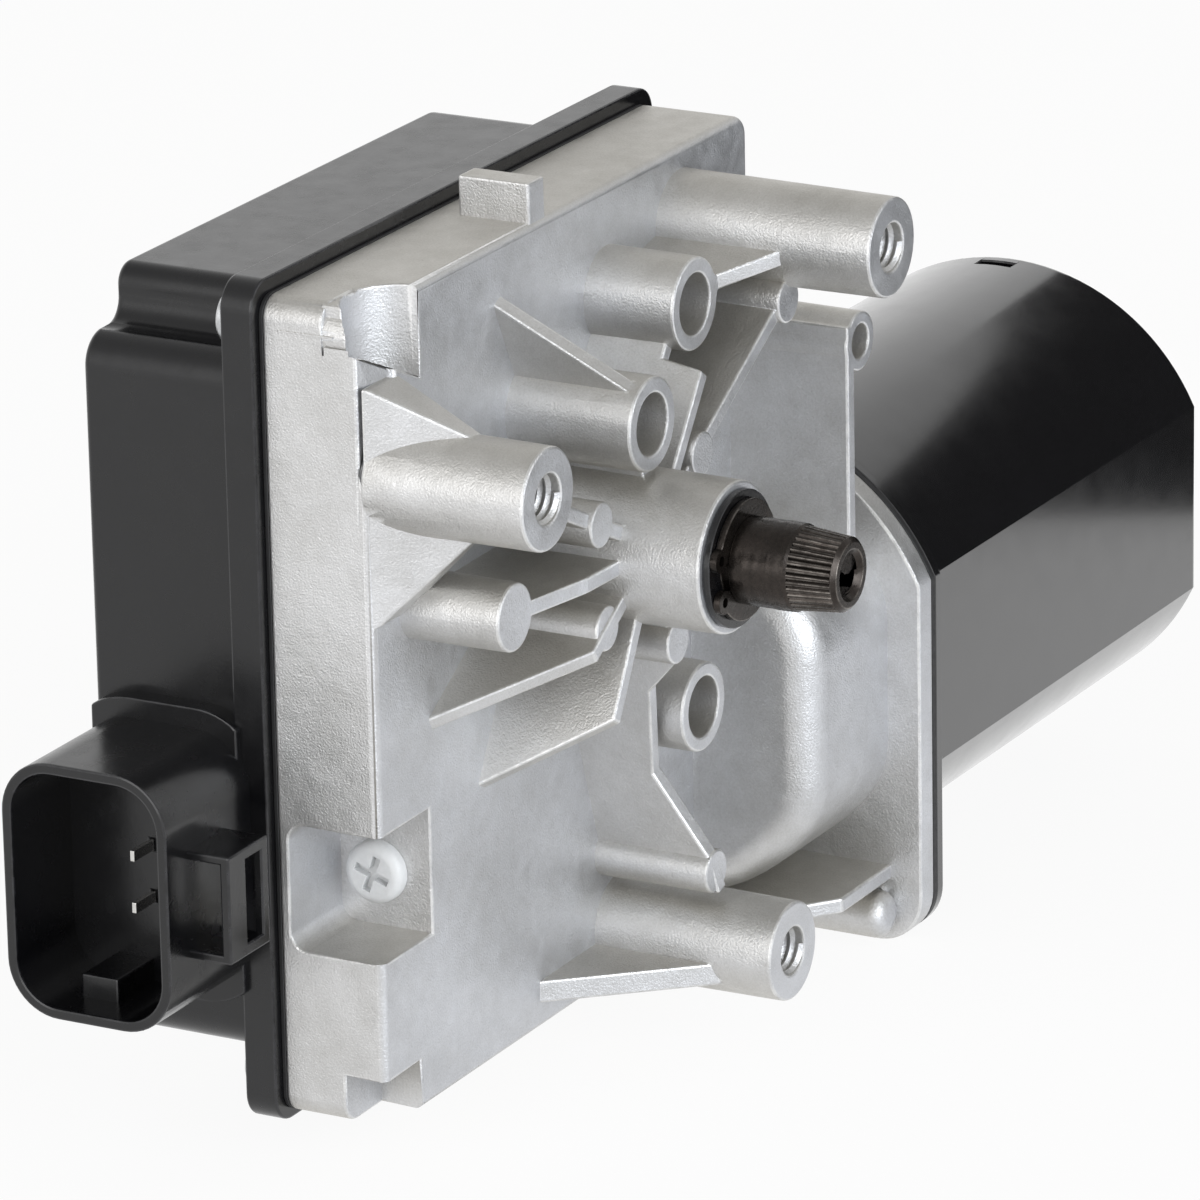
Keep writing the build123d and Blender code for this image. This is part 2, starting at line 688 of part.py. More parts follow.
def brushHolder(side):
    # a brass box that guides the brush, closed at its outer end by the spring's seat
    long, wide = brushLong + 2 * brushGap, brushWide + 2 * brushGap
    low, high = commR + 2.0, holderTop
    outer = Box(long + 2 * holderT, wide + 2 * holderT, high - low)
    inner = Pos(0, 0, -side * (holderT + 1) / 2) * Box(long, wide, high - low - holderT + 1)
    return Pos(brushMiddle(), axisY, centreZ + side * (low + high) / 2) * (outer - inner)


def brushSpring(side):
    low = commR + brushSeat + brushHigh + 0.05
    high = holderTop - holderT - 0.05
    height = high - low - 2 * springWireR
    coil = Helix(pitch=height / springTurns, height=height, radius=springR)
    plane = Plane(origin=coil @ 0, x_dir=(1, 0, 0), z_dir=coil % 0)
    wire = sweep(plane * RegularPolygon(springWireR, 6), path=coil, is_frenet=True)
    start = low + springWireR if side > 0 else -high + springWireR
    return Pos(brushMiddle(), axisY, centreZ + start) * wire


def brushCard():
    right = brushMiddle() - brushLong / 2 - brushGap - holderT
    card = doubleD(bellR - bellWall - 0.05, bellFlat - bellWall - 0.05)
    return bar(card - Pos(axisY, centreZ) * Circle(commR + 1.5), right - cardT, right)


def magnet(side):
    arc = Circle(canR - canWall - magnetFit) - Circle(coreR + magnetGap)
    y, z = 2 * canR * sin(radians(magnetHalfAngle)), 2 * canR * cos(radians(magnetHalfAngle))
    wedge = face([(0, 0), (y, side * z), (0, side * 3 * canR), (-y, side * z)])
    middle = (coreLeft + coreRight) / 2
    return bar(Pos(axisY, centreZ) * (arc & wedge), middle - magnetLength / 2, middle + magnetLength / 2)


def earPlaces():
    return [(axisY + side * earY, centreZ + side * earZ) for side in (1, -1)]


def motorCan():
    left = flangeX + flangeT + gasketT
    can = bar(doubleD(canR, canFlat), left, canEnd)
    can = fillet(can.faces().sort_by(Axis.X)[-1].edges(), canFloorR)
    pocket = rodX(endBearingR + canWall, canEnd - 1, canEnd + endBearingT)
    pocket = fillet(pocket.faces().sort_by(Axis.X)[-1].edges(), 2.0)
    can += pocket + bar(doubleD(flangeR, flangeFlat) + earOutline(), left, left + canFlangeT)
    can -= bar(doubleD(canR - canWall, canFlat - canWall), left - 1, canEnd - canWall)
    can -= rodX(endBearingR, canEnd - canWall - 1, canEnd + endBearingT - canWall)
    top = centreZ + canR
    can -= box((canEnd - 5.5, canEnd - 3.5), (axisY - 1.8, axisY + 3.7), (top - 5, top + 1))
    for y, z in earPlaces():
        can -= rodX(screwR, left - 1, left + canFlangeT + 1, y, z)
    return can


def canGasket():
    left = flangeX + flangeT
    sheet = doubleD(flangeR, flangeFlat) + earOutline() - doubleD(canR - canWall, canFlat - canWall)
    return bar(sheet - circlesAt(earPlaces(), screwR), left, left + gasketT)


def canScrews():
    seat = flangeX + flangeT + gasketT + canFlangeT
    screws = None
    for y, z in earPlaces():
        screw = rodX(screwR - 0.3, flangeX + 0.5, seat, y, z) + rodX(screwHeadR, seat, seat + screwHeadT, y, z)
        screws = screw if screws is None else screws + screw
    return screws


def thrustScrew():
    outer = thrustX - thrustHeadT
    head = rodX(thrustHeadR, outer, thrustX)
    head = fillet(head.faces().sort_by(Axis.X)[0].edges(), thrustHeadT * 0.6)
    screw = head + rodX(thrustThreadR, thrustX, thrustX + thrustWall - 0.5)
    for turn in (20, 110):
        blade = Pos(axisY, centreZ) * Rot(Z=turn) * Rectangle(thrustHeadR * 1.2, 1.1)
        screw -= bar(blade, outer - 1, outer + 1.3)
    return screw


def coverOutline():
    points = [(coverStepX, coverTop), (coverRight, coverTop), (coverRight, coverBellZ),
              (coverBellX, coverBellZ), (coverBellX, coverBottom), (coverLeft, coverBottom),
              (coverLeft, coverStepZ), (coverStepX, coverStepZ)]
    step = (coverStepX, coverTop)
    sketch = fillet(face(points).vertices().sort_by_distance(step)[:2], coverTopR)
    return fillet(sketch.vertices().sort_by_distance(step)[4:], coverStepR)


def lipOutline():
    return steppedOutline(lipLeft, lipRight, lipTop, lipBottom, lipShoulderZ, lipBellX, lipCornerR)


def coverShell():
    lipFront = rimY + coverGasketT
    lip = slab(lipOutline(), lipFront, lipBackY)
    body = slab(coverOutline(), lipBackY - 1, coverBackY)
    body = fillet(body.faces().sort_by(Axis.Y)[-1].edges(), coverBackR)
    body -= slab(circlesAt(coverScrews, coverHeadR + 0.5), lipBackY, coverBackY + 1)
    shell = lip + body + socketBlock()
    inside = offset(coverOutline(), -coverWall) - circlesAt(coverScrews, coverHeadR + 0.5 + coverWall)
    shell -= slab(inside, lipBackY - ledgeT - 1, coverBackY - coverWall)
    shell -= slab(caseOutline(sideWall) - circlesAt(coverScrews, screwBossR), lipFront - 1, lipBackY - ledgeT)
    shell += slab(circlesAt(boardPosts(), 2.5 * boardScrewR), boardY + boardT, coverBackY - 1)
    shell -= slab(circlesAt(boardPosts(), boardScrewR), boardY, boardY + boardT + 8)
    return shell - slab(circlesAt(coverScrews, screwR), lipFront - 1, lipBackY + 1) - socketCuts()


def socketBlock():
    y, z = socketCentre
    block = bar(Pos(y, z) * RectangleRounded(socketWide, socketHigh, socketCorner), socketX, coverLeft + 1)
    foot = RectangleRounded(socketWide + 2 * collarRise, socketHigh + 2 * collarRise, socketCorner + collarRise)
    foot = (Pos(y, z) * foot) & Pos((lipBackY + coverBackY) / 2 - 1, z) * Rectangle(coverBackY - lipBackY, 100)
    return block + bar(foot, collarX, coverLeft + 1) + box(latchX, (latchY, y - socketWide / 2 + 1), latchZ)


def socketCuts():
    y, z = socketCentre
    room = RectangleRounded(socketWide - 2 * socketWall, socketHigh - 2 * socketWall, socketCorner - socketWall)
    cuts = bar(Pos(y, z) * room, socketX - 1, socketFloorX)
    low = z - socketHigh / 2
    cuts -= box((keyX, socketFloorX), (keyY - keyWide / 2, keyY + keyWide / 2),
                (low, low + socketWall + keyHigh))
    cuts += box((latchX[0] - 1, latchX[1] + 1), (latchY + latchPlate, y - socketWide / 2),
                (latchZ[0] + latchWall, latchZ[1] - latchWall))
    cuts += box((latchX[0] + latchPost, latchX[1] - latchEdge), (latchY - 1, latchY + latchPlate + 1),
                (latchZ[0] + latchEdge, latchZ[1] - latchEdge))
    return cuts + pinBars()


def pinBars():
    bars = None
    for row, y in enumerate(pinYs):
        for z in pinZs:
            pin = Pos((pinTipX + legX - row * legPitch) / 2, y, z)
            pin = pin * Box(legX - row * legPitch - pinTipX, pinWide, pinHigh)
            bars = pin if bars is None else bars + pin
    return bars


def terminals():
    pins = pinBars()
    for row, y in enumerate(pinYs):
        for z in pinZs:
            right = legX - row * legPitch
            pins += box((right - pinWide, right), (boardY + boardT, y), (z - pinHigh / 2, z + pinHigh / 2))
    return pins


def boardPosts():
    inset = boardPostInset
    left, right = boardX[0] + inset, boardX[1] - inset
    low, high = boardZ[0] + inset, boardZ[1] - inset
    return [(left, low), (right, low), (right, high), (left, high)]


def circuitBoard():
    board = box(boardX, (boardY, boardY + boardT), boardZ)
    board = fillet(board.edges().filter_by(Axis.Y), 2.0)
    return board - slab(circlesAt(boardPosts(), boardScrewR), boardY - 1, boardY + boardT + 1)


def boardScrews():
    screws = None
    for place in boardPosts():
        screw = rodY(place, boardScrewR, boardY, boardY + boardT + 6)
        screw += rodY(place, 2 * boardScrewR, boardY - 1.6, boardY)
        screws = screw if screws is None else screws + screw
    return screws


def parkContacts():
    # sprung fingers on the board that run on the wheel's ring
    tip = wheelBackY + ringT + runningGap
    foot, t = contactReach, contactT
    profile = face([(boardY, foot + 6), (boardY, foot), (tip + t, 0.6), (tip + t, -0.6), (tip + 1.6, -2.2),
                    (tip + 1.1, -2.5), (tip, -0.9), (tip, 0.9), (boardY - t, foot + 0.4),
                    (boardY - t, foot + 6)])
    fingers = None
    for radius in contactRadii:
        finger = bar(profile, radius - contactWide / 2, radius + contactWide / 2)
        fingers = finger if fingers is None else fingers + finger
    return fingers


def coverScrewSet():
    screws = None
    for place in coverScrews:
        screw = rodY(place, screwR - 0.3, rimY - screwReach, lipBackY)
        screw += rodY(place, coverHeadR, lipBackY, lipBackY + coverHeadT)
        screws = screw if screws is None else screws + screw
    return screws


def coverGasket():
    sheet = (rimSketch() & lipOutline()) - circlesAt(coverScrews, screwR)
    return slab(sheet, rimY, rimY + coverGasketT)


def pieces():
    mainBushLeft = bellLeft + bellWall - mainBushL
    wormBushLeft = thrustX + thrustWall
    endBushRight = canEnd + endBearingT - canWall
    ballX = thrustX + thrustWall - 0.5 + thrustBallR + runningGap / 2
    made = {
        "gear_housing": gearHousing(),
        "output_shaft": outputShaft(),
        "drive_gear": driveGear(),
        "gear_hub": gearInsert(),
        "park_ring": parkRing(),
        "retaining_clip": retainingClip(),
        "armature_shaft": armatureShaft(),
        "armature_core": armatureCore(),
        "armature_windings": windings(),
        "commutator": commutator(),
        "worm_end_bush": ringX(tunnelR, journalR + runningGap, wormBushLeft, wormBushLeft + endBushL),
        "main_bush": ringX(mainBushR, armShaftR + runningGap, mainBushLeft, mainBushLeft + mainBushL),
        "end_bush": ringX(endBearingR, endJournalR + runningGap, canEnd - canWall + 0.5, endBushRight),
        "thrust_ball": Pos(ballX, axisY, centreZ) * Sphere(thrustBallR),
        "thrust_screw": thrustScrew(),
        "brush_card": brushCard(),
        "magnet_upper": magnet(1),
        "magnet_lower": magnet(-1),
        "motor_can": motorCan(),
        "can_gasket": canGasket(),
        "can_screws": canScrews(),
        "rear_cover": coverShell(),
        "cover_gasket": coverGasket(),
        "cover_screws": coverScrewSet(),
        "connector_terminals": terminals(),
        "circuit_board": circuitBoard(),
        "board_screws": boardScrews(),
        "park_contacts": parkContacts(),
    }
    made.update(hubPieces())
    for name, side in (("upper", 1), ("lower", -1)):
        made["brush_" + name] = brush(side)
        made["brush_holder_" + name] = brushHolder(side)
        made["brush_spring_" + name] = brushSpring(side)
    return made


os.makedirs("parts", exist_ok=True)
for name, shape in pieces().items():
    export_step(shape, "parts/" + name + ".step")
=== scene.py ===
import json
from math import cos, pi, radians, sin
import bmesh
import bpy
from mathutils import Matrix, Vector


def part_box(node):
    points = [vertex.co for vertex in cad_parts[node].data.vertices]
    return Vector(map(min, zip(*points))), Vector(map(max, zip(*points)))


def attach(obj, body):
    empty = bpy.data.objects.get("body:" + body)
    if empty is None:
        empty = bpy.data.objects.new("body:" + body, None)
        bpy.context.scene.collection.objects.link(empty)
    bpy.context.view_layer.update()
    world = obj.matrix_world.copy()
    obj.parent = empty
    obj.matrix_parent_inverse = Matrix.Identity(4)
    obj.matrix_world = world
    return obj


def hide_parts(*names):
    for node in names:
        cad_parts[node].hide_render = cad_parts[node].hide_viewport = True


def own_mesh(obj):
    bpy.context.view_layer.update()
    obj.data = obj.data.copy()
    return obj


mm = 0.001

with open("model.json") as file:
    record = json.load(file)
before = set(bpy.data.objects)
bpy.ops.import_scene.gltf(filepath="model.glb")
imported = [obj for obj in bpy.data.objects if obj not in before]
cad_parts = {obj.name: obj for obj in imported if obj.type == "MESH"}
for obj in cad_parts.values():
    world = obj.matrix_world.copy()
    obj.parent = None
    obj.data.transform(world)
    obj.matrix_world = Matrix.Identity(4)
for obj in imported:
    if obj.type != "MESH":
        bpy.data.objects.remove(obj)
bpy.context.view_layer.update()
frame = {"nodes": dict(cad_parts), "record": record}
nodes = frame["nodes"]
bodies = frame["record"]["behaviour"]["bodies"]
slotOf = {part["node"]: part["material_slot"] for part in frame["record"]["subparts"]}
bodyOf = {name: body for body, names in bodies.items() for name in names}
print("frame loaded:", len(nodes), "nodes")


def addObject(name, data):
    piece = bpy.data.objects.new(name, data)
    bpy.context.scene.collection.objects.link(piece)
    return piece


def takeMesh(name, bm):
    mesh = bpy.data.meshes.new(name)
    bm.to_mesh(mesh)
    bm.free()
    return mesh


cameraSpec = {
    "azimuth": -61.1853,            # degrees round Z, 0 looks along +Y
    "elevation": 18.5328,
    "roll": -1.1258,
    "place": (-961.91, -511.29, 359.23),   # millimetres
    "focal": 8716.7,                # in pixels of a 1200 pixel wide picture
    "pictureWidth": 1200,
    "sensor": 36.0,
    "near": 0.05,                   # metres
    "far": 20,
}


def makeCamera(spec):
    a, e, r = (radians(spec[k]) for k in ("azimuth", "elevation", "roll"))
    back = Vector((sin(a) * cos(e), -cos(a) * cos(e), sin(e)))
    side = (-back).cross(Vector((0, 0, 1))).normalized()
    up = side.cross(-back)
    right = side * cos(r) + up * sin(r)
    top = up * cos(r) - side * sin(r)
    data = bpy.data.cameras.new("camera")
    data.sensor_width = spec["sensor"]
    data.lens = spec["sensor"] * spec["focal"] / spec["pictureWidth"]
    data.clip_start = spec["near"]
    data.clip_end = spec["far"]
    camera = addObject("camera", data)
    turn = Matrix((right, top, back)).transposed().to_4x4()
    camera.matrix_world = Matrix.Translation(Vector(spec["place"]) * mm) @ turn
    bpy.context.scene.camera = camera


makeCamera(cameraSpec)
print("camera placed")


# Node trees. A value that is a socket is linked, any other is set.
def fillSockets(tree, node, sockets):
    for key, value in sockets.items():
        if isinstance(value, bpy.types.NodeSocket):
            tree.links.new(value, node.inputs[key])
        else:
            node.inputs[key].default_value = value


def addNode(tree, kind, sockets=None, **settings):
    node = tree.nodes.new("ShaderNode" + kind)
    for key, value in settings.items():
        setattr(node, key, value)
    fillSockets(tree, node, sockets or {})
    return node


def newGroup(name, inputs, outputs):
    tree = bpy.data.node_groups.new(name, "ShaderNodeTree")
    for label, kind, value in inputs:
        socket = tree.interface.new_socket(label, in_out="INPUT", socket_type="NodeSocket" + kind)
        if value is not None:
            socket.default_value = value
    for label in outputs:
        tree.interface.new_socket(label, in_out="OUTPUT", socket_type="NodeSocketFloat")
    return tree, tree.nodes.new("NodeGroupInput").outputs, tree.nodes.new("NodeGroupOutput").inputs


def useGroup(tree, group, sockets):
    node = tree.nodes.new("ShaderNodeGroup")
    node.node_tree = group
    fillSockets(tree, node, sockets)
    return node.outputs


def noise(tree, vector, scale, detail, rough):
    sockets = {"Vector": vector, "Scale": scale, "Detail": detail, "Roughness": rough}
    return addNode(tree, "TexNoise", sockets).outputs["Fac"]


def mapRange(tree, value, low, high, newLow=0.0, newHigh=1.0):
    sockets = {"Value": value, "From Min": low, "From Max": high, "To Min": newLow, "To Max": newHigh}
    return addNode(tree, "MapRange", sockets).outputs["Result"]


def calc(tree, operation, first, second, clamp=False):
    return addNode(tree, "Math", {0: first, 1: second}, operation=operation, use_clamp=clamp).outputs[0]


def weigh(tree, first, firstShare, second, secondShare):
    return calc(tree, "ADD", calc(tree, "MULTIPLY", first, firstShare),
                calc(tree, "MULTIPLY", second, secondShare))


def mix(tree, kind, factor, first, second, blend="MIX"):
    sockets = {"Factor": factor, "A": first, "B": second}
    return addNode(tree, "Mix", sockets, data_type=kind, blend_type=blend).outputs["Result"]


grainShape = {
    "waveScale": 0.11, "pitScale": 0.22,            # shares of the grain's own scale
    "pitRange": (0.05, 0.22),
    "fineHeight": 0.75, "waveHeight": 0.8,
    "fineTone": 0.65, "waveTone": 0.35, "toneRange": (0.3, 0.7),
}


# Fine sand-like grain, shallow waves and small pits of a cast or moulded skin.
def makeSkinGrain(spec):
    tree, into, out = newGroup(
        "skinGrain",
        [("Vector", "Vector", None), ("Scale", "Float", 2000.0), ("Pits", "Float", 0.4)],
        ["Height", "Tone"],
    )
    place, scale = into["Vector"], into["Scale"]
    fine = noise(tree, place, scale, detail=2.0, rough=0.6)
    wave = noise(tree, place, calc(tree, "MULTIPLY", scale, spec["waveScale"]), detail=3.0, rough=0.55)
    pitScale = calc(tree, "MULTIPLY", scale, spec["pitScale"])
    cells = addNode(tree, "TexVoronoi", {"Vector": place, "Scale": pitScale}).outputs["Distance"]
    pits = calc(tree, "MULTIPLY", mapRange(tree, cells, *spec["pitRange"], 1.0, 0.0), into["Pits"])
    height = weigh(tree, fine, spec["fineHeight"], wave, spec["waveHeight"])
    tree.links.new(calc(tree, "SUBTRACT", height, pits), out["Height"])
    tone = weigh(tree, fine, spec["fineTone"], wave, spec["waveTone"])
    tree.links.new(mapRange(tree, tone, *spec["toneRange"]), out["Tone"])
    return tree


blotchShape = {"fineScale": 6.0, "broadRange": (0.35, 0.65), "fineRange": (0.3, 0.7)}


# Slow blotches, such as handling and release marks.
def makeBlotches(spec):
    tree, into, out = newGroup(
        "blotches", [("Vector", "Vector", None), ("Scale", "Float", 60.0)], ["Mask", "Fine"]
    )
    place, scale = into["Vector"], into["Scale"]
    broad = noise(tree, place, scale, detail=4.0, rough=0.6)
    fine = noise(tree, place, calc(tree, "MULTIPLY", scale, spec["fineScale"]), detail=3.0, rough=0.6)
    tree.links.new(mapRange(tree, broad, *spec["broadRange"]), out["Mask"])
    tree.links.new(mapRange(tree, fine, *spec["fineRange"]), out["Fine"])
    return tree


wearAndHighlightShape = {"brokenRange": (0.35, 0.6)}


# Rubbed edges, partly real scuffing and partly a painted highlight along the edge: the rounded edge faces
# carry the attribute "edge", which noise breaks up.
def makeEdgeWearAndHighlight(spec):
    tree, into, out = newGroup(
        "edgeWearAndHighlight", [("Vector", "Vector", None), ("Amount", "Float", 0.6), ("Scale", "Float", 400.0)],
        ["Mask"],
    )
    edge = addNode(tree, "Attribute", attribute_name="edge").outputs["Fac"]
    speckle = noise(tree, into["Vector"], into["Scale"], detail=3.0, rough=0.7)
    strength = calc(tree, "MULTIPLY", edge, mapRange(tree, speckle, *spec["brokenRange"]))
    tree.links.new(calc(tree, "MULTIPLY", strength, into["Amount"], clamp=True), out["Mask"])
    return tree


# Painted light and shade by face direction: how far a face looks to the front, for a bluish painted light,
# and how far up or down, for a darker yellowish painted shade.
def makePaintedSideLight():
    tree, into, out = newGroup("paintedSideLight", [("Sharpness", "Float", 1.0)], ["FrontLight", "Level"])
    normal = addNode(tree, "TexCoord").outputs["Normal"]
    parts = addNode(tree, "SeparateXYZ", {"Vector": normal}).outputs
    front = calc(tree, "MULTIPLY", parts["Y"], -1.0, clamp=True)
    level = calc(tree, "ABSOLUTE", parts["Z"], 0.0)
    for label, amount in (("FrontLight", front), ("Level", level)):
        tree.links.new(calc(tree, "POWER", amount, into["Sharpness"]), out[label])
    return tree


skinGrain = makeSkinGrain(grainShape)
blotches = makeBlotches(blotchShape)
edgeWearAndHighlight = makeEdgeWearAndHighlight(wearAndHighlightShape)
paintedSideLight = makePaintedSideLight()


# One finish for each material slot. Depth is in millimetres, grain, blotches and rings per metre.
# In each finish, the lighter edge colour is partly real scuffing and partly a painted highlight on the
# rounded edges.
finishes = {
    "cast_aluminium": {
        "tone": (0.70, 0.70, 0.705), "dark": (0.49, 0.485, 0.475), "wornAndHighlight": (0.88, 0.88, 0.87),
        # On the next line, the last two colours are tints: painted shade on faces that look up or down,
        # painted light on faces that look to the front.
        "levelShadeTint": (0.92, 0.895, 0.835), "frontLightTint": (0.965, 0.985, 1.03),
        "metallic": 0.80, "rough": (0.34, 0.48), "grain": 3400.0, "depth": 0.105, "pits": 0.2,
        "blotches": 55.0, "wearAndHighlight": 0.45, "wearRough": 0.28,
    },
    "black_plastic": {
        "tone": (0.0045, 0.0045, 0.0055), "dark": (0.002, 0.002, 0.0025), "wornAndHighlight": (0.03, 0.03, 0.034),
        "metallic": 0.0, "rough": (0.20, 0.30), "grain": 1500.0, "depth": 0.012, "pits": 0.1,
        "blotches": 40.0, "wearAndHighlight": 0.5, "wearRough": 0.3, "coat": 0.15, "coatRough": 0.22,
    },
    "black_paint": {
        "tone": (0.005, 0.005, 0.006), "dark": (0.003, 0.003, 0.0035), "wornAndHighlight": (0.02, 0.02, 0.022),
        "metallic": 0.0, "rough": (0.16, 0.24), "grain": 1100.0, "depth": 0.010, "pits": 0.0,
        "blotches": 30.0, "wearAndHighlight": 0.4, "wearRough": 0.3, "coat": 0.8, "coatRough": 0.12,
    },
    "oxide_steel": {
        "tone": (0.060, 0.050, 0.044), "dark": (0.024, 0.021, 0.019), "wornAndHighlight": (0.24, 0.22, 0.20),
        "metallic": 0.9, "rough": (0.20, 0.34), "grain": 2500.0, "depth": 0.02, "pits": 0.1,
        "blotches": 160.0, "wearAndHighlight": 0.5, "wearRough": 0.3, "rings": 210.0,
    },
    "steel": {
        "tone": (0.46, 0.46, 0.47), "dark": (0.33, 0.33, 0.33), "wornAndHighlight": (0.62, 0.62, 0.62),
        "metallic": 1.0, "rough": (0.22, 0.38), "grain": 2500.0, "depth": 0.015, "pits": 0.1,
        "blotches": 120.0, "wearAndHighlight": 0.4, "wearRough": 0.2,
    },
    "zinc_screws": {
        "tone": (0.60, 0.61, 0.62), "dark": (0.42, 0.43, 0.44), "wornAndHighlight": (0.78, 0.78, 0.78),
        "metallic": 0.95, "rough": (0.24, 0.38), "grain": 3000.0, "depth": 0.015, "pits": 0.2,
        "blotches": 200.0, "wearAndHighlight": 0.4, "wearRough": 0.25,
    },
    "tin_plate": {
        "tone": (0.74, 0.73, 0.71), "dark": (0.55, 0.54, 0.52), "wornAndHighlight": (0.82, 0.81, 0.80),
        "metallic": 1.0, "rough": (0.18, 0.30), "grain": 3000.0, "depth": 0.01, "pits": 0.1,
        "blotches": 250.0, "wearAndHighlight": 0.3, "wearRough": 0.2,
    },
    "copper": {
        "tone": (0.72, 0.33, 0.18), "dark": (0.45, 0.19, 0.10), "wornAndHighlight": (0.85, 0.48, 0.30),
        "metallic": 0.95, "rough": (0.22, 0.40), "grain": 2600.0, "depth": 0.03, "pits": 0.0,
        "blotches": 220.0, "wearAndHighlight": 0.3, "wearRough": 0.2,
    },
    "bronze": {
        "tone": (0.52, 0.37, 0.20), "dark": (0.36, 0.25, 0.13), "wornAndHighlight": (0.66, 0.50, 0.30),
        "metallic": 0.95, "rough": (0.32, 0.48), "grain": 3200.0, "depth": 0.04, "pits": 0.5,
        "blotches": 200.0, "wearAndHighlight": 0.4, "wearRough": 0.25,
    },
    "brass": {
        "tone": (0.70, 0.54, 0.26), "dark": (0.52, 0.39, 0.17), "wornAndHighlight": (0.82, 0.68, 0.40),
        "metallic": 1.0, "rough": (0.22, 0.34), "grain": 2600.0, "depth": 0.015, "pits": 0.1,
        "blotches": 180.0, "wearAndHighlight": 0.4, "wearRough": 0.2,
    },
    "white_nylon": {
        "tone": (0.74, 0.75, 0.76), "dark": (0.62, 0.63, 0.64), "wornAndHighlight": (0.82, 0.82, 0.82),
        "metallic": 0.0, "rough": (0.36, 0.48), "grain": 1300.0, "depth": 0.02, "pits": 0.1,
        "blotches": 160.0, "wearAndHighlight": 0.3, "wearRough": 0.35,
    },
    "brown_board": {
        "tone": (0.22, 0.12, 0.055), "dark": (0.15, 0.08, 0.035), "wornAndHighlight": (0.34, 0.22, 0.12),
        "metallic": 0.0, "rough": (0.45, 0.60), "grain": 1800.0, "depth": 0.03, "pits": 0.2,
        "blotches": 90.0, "wearAndHighlight": 0.4, "wearRough": 0.6,
    },
    "green_board": {
        "tone": (0.035, 0.15, 0.06), "dark": (0.02, 0.10, 0.04), "wornAndHighlight": (0.30, 0.32, 0.18),
        "metallic": 0.0, "rough": (0.28, 0.42), "grain": 1600.0, "depth": 0.015, "pits": 0.0,
        "blotches": 90.0, "wearAndHighlight": 0.4, "wearRough": 0.5,
    },
    "ferrite": {
        "tone": (0.045, 0.045, 0.048), "dark": (0.025, 0.025, 0.027), "wornAndHighlight": (0.12, 0.12, 0.12),
        "metallic": 0.2, "rough": (0.50, 0.66), "grain": 2200.0, "depth": 0.05, "pits": 0.5,
        "blotches": 90.0, "wearAndHighlight": 0.6, "wearRough": 0.5,
    },
    "carbon": {
        "tone": (0.05, 0.047, 0.045), "dark": (0.03, 0.028, 0.027), "wornAndHighlight": (0.20, 0.15, 0.11),
        "metallic": 0.35, "rough": (0.38, 0.55), "grain": 3500.0, "depth": 0.03, "pits": 0.4,
        "blotches": 260.0, "wearAndHighlight": 0.5, "wearRough": 0.4,
    },
    "black_rubber": {
        "tone": (0.017, 0.017, 0.018), "dark": (0.010, 0.010, 0.011), "wornAndHighlight": (0.05, 0.05, 0.05),
        "metallic": 0.0, "rough": (0.48, 0.66), "grain": 2200.0, "depth": 0.03, "pits": 0.2,
        "blotches": 140.0, "wearAndHighlight": 0.3, "wearRough": 0.6,
    },
}


finishShape = {
    "grainShare": 0.55, "marksShare": 0.45,         # of the mix of dark and plain tone
    "paintedSideLightSharpness": 1.2,
    "ringBend": 0.6, "ringDetail": 2.0, "ringHeight": 0.6,
    "plainCoatRough": 0.03,
}


def makeFinish(name, look, shape):
    material = bpy.data.materials.new(name)
    material.use_nodes = True
    tree = material.node_tree
    shader = tree.nodes["Principled BSDF"]
    place = addNode(tree, "TexCoord").outputs["Object"]
    grain = useGroup(tree, skinGrain, {"Vector": place, "Scale": look["grain"], "Pits": look["pits"]})
    marks = useGroup(tree, blotches, {"Vector": place, "Scale": look["blotches"]})
    rubbedAndLit = useGroup(tree, edgeWearAndHighlight, {"Vector": place, "Amount": look["wearAndHighlight"]})["Mask"]
    mixed = weigh(tree, grain["Tone"], shape["grainShare"], marks["Mask"], shape["marksShare"])
    colour = mix(tree, "RGBA", mixed, (*look["dark"], 1), (*look["tone"], 1))
    # Painted light and shade: faces that look to the front get a bluish light tint, faces that look up or
    # down a darker yellowish shade.
    if "levelShadeTint" in look:
        sides = useGroup(tree, paintedSideLight, {"Sharpness": shape["paintedSideLightSharpness"]})
        for side, tint in (("Level", look["levelShadeTint"]), ("FrontLight", look["frontLightTint"])):
            colour = mix(tree, "RGBA", sides[side], colour, (*tint, 1), blend="MULTIPLY")
    # Edge colour: partly real scuffing, partly a painted highlight on the rounded edges.
    colour = mix(tree, "RGBA", rubbedAndLit, colour, (*look["wornAndHighlight"], 1))
    tree.links.new(colour, shader.inputs["Base Color"])
    low, high = look["rough"]
    rough = mapRange(tree, marks["Fine"], 0.0, 1.0, high, low)
    tree.links.new(mix(tree, "FLOAT", rubbedAndLit, rough, look["wearRough"]), shader.inputs["Roughness"])
    height = grain["Height"]
    if "rings" in look:                 # fine rings from the lathe, along Y
        waves = {"Vector": place, "Scale": look["rings"], "Distortion": shape["ringBend"],
                 "Detail": shape["ringDetail"]}
        rings = addNode(tree, "TexWave", waves, bands_direction="Y").outputs["Fac"]
        height = calc(tree, "ADD", height, calc(tree, "MULTIPLY", rings, shape["ringHeight"]))
    bump = addNode(tree, "Bump", {"Height": height, "Distance": look["depth"] * mm, "Strength": 1.0})
    tree.links.new(bump.outputs["Normal"], shader.inputs["Normal"])
    shader.inputs["Metallic"].default_value = look["metallic"]
    shader.inputs["Coat Weight"].default_value = look.get("coat", 0.0)
    shader.inputs["Coat Roughness"].default_value = look.get("coatRough", shape["plainCoatRough"])
    return material


finishOf = {name: makeFinish(name, look, finishShape) for name, look in finishes.items()}
print("finishes made:", len(finishOf))


